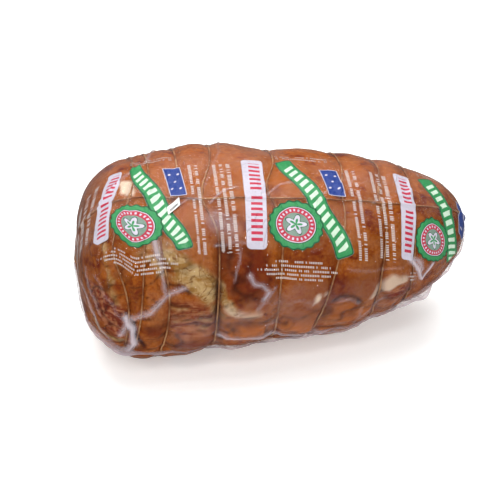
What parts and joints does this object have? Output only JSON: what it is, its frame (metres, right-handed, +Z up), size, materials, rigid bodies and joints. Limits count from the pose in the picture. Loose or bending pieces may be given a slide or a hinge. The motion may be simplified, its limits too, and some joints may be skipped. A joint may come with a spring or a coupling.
{
  "type": "smoked ham",
  "caption": "Whole boneless smoked leg ham, tied with butcher's twine and vacuum packed in clear printed film with a small price label.",
  "frame": {"origin": "on the surface the ham rests on, under the middle of the pack", "axes": "+X along the ham from the blunt leg end to the shank end, +Z up, -Y the side with the price label"},
  "size_m": [0.404, 0.2141, 0.1988],
  "materials": {
    "ham": "smoked golden-brown rind with pale fat and red-brown lean, moist, semi-gloss",
    "twine": "twisted cotton butcher's twine stained by smoke, matt",
    "film": "clear glossy vacuum-bag film with a printed panel",
    "label": "white thermal paper sticker"
  },
  "bodies": {
    "root": {"ham": "ham", "twine_loop_1": "twine", "twine_loop_2": "twine", "twine_loop_3": "twine", "twine_loop_4": "twine", "twine_loop_5": "twine", "twine_loop_6": "twine", "twine_loop_7": "twine", "twine_loop_8": "twine", "twine_lengthwise": "twine", "film_upper_panel": "film", "film_lower_panel": "film", "price_label": "label"}
  },
  "joints": []
}
